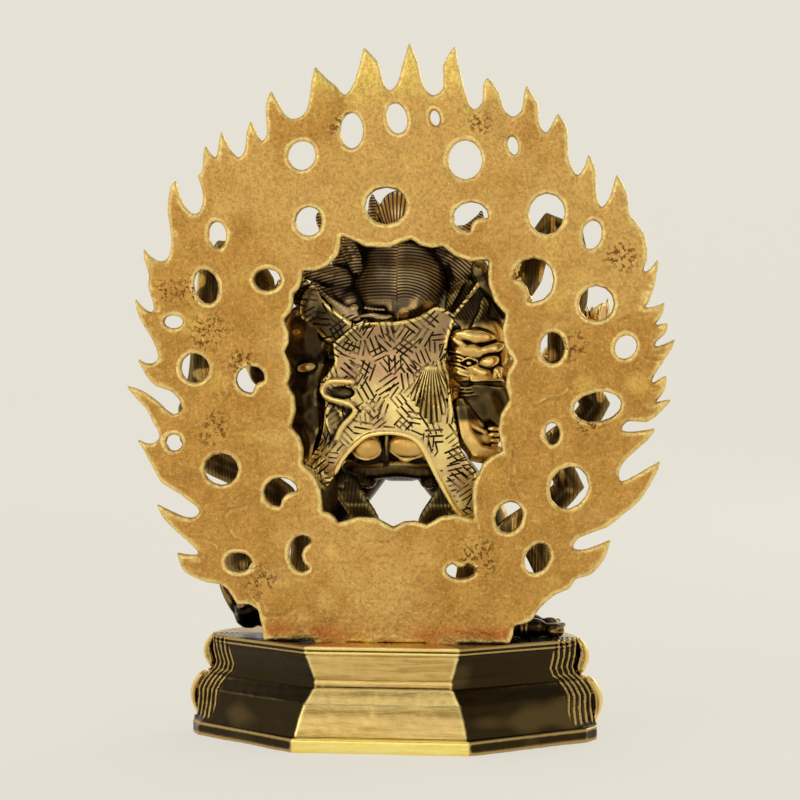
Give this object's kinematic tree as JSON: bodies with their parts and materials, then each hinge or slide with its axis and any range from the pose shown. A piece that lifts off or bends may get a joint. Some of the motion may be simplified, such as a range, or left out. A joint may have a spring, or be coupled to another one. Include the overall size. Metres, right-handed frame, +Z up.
{
  "type": "statue",
  "caption": "Cast brass guardian statue on a lotus plinth, with many arms and a hide on its back, before a pierced flame aureole that lifts out of the deck.",
  "frame": {"origin": "on the ground, on the plinth's own upright axis, in the underside of the base plate", "axes": "+Z up, the figure looks along -Y and the aureole stands behind it at +Y, +X is the figure's left"},
  "size_m": [0.2375, 0.104, 0.3025],
  "materials": {
    "sanded_brass": "matte, sand cast and rubbed down, ochre gold",
    "polished_brass": "polished on the high places, with brown-black patina in the chased lines",
    "dark_brass": "glossy olive-brown to black patina, rubbed bright on the edges",
    "copper": "dull beaten sheet",
    "steel": "plain, a little dull"
  },
  "bodies": {
    "statue": {"plinth": "dark_brass", "base_plate": "copper", "figure_stud_left": "steel", "washer_left": "steel", "nut_left": "steel", "figure_stud_right": "steel", "washer_right": "steel", "nut_right": "steel", "torso": "polished_brass", "loincloth": "dark_brass", "leg_left": "polished_brass", "leg_right": "polished_brass", "head": "polished_brass", "hair": "polished_brass", "crown": "polished_brass", "earring_left": "polished_brass", "earring_right": "polished_brass", "upper_arm_left": "polished_brass", "middle_arm_left": "polished_brass", "front_arm_left": "polished_brass", "upper_arm_right": "polished_brass", "middle_arm_right": "polished_brass", "front_arm_right": "polished_brass", "hide": "polished_brass", "hide_head": "polished_brass", "hide_foot": "polished_brass", "hide_flank": "dark_brass", "hide_tail": "polished_brass", "necklace": "polished_brass", "garland": "polished_brass", "offering_bowl": "polished_brass", "curved_knife": "polished_brass", "hand_drum": "polished_brass", "sceptre": "polished_brass", "scarf_left": "dark_brass", "scarf_right": "dark_brass", "trampled_figure": "dark_brass"},
    "aureole": {"aureole": "sanded_brass"}
  },
  "joints": [
    {"name": "aureole_lift", "type": "slide", "parent": "statue", "child": "aureole", "axis": [0, 0, 1], "range_m": [0, 0.02]}
  ]
}
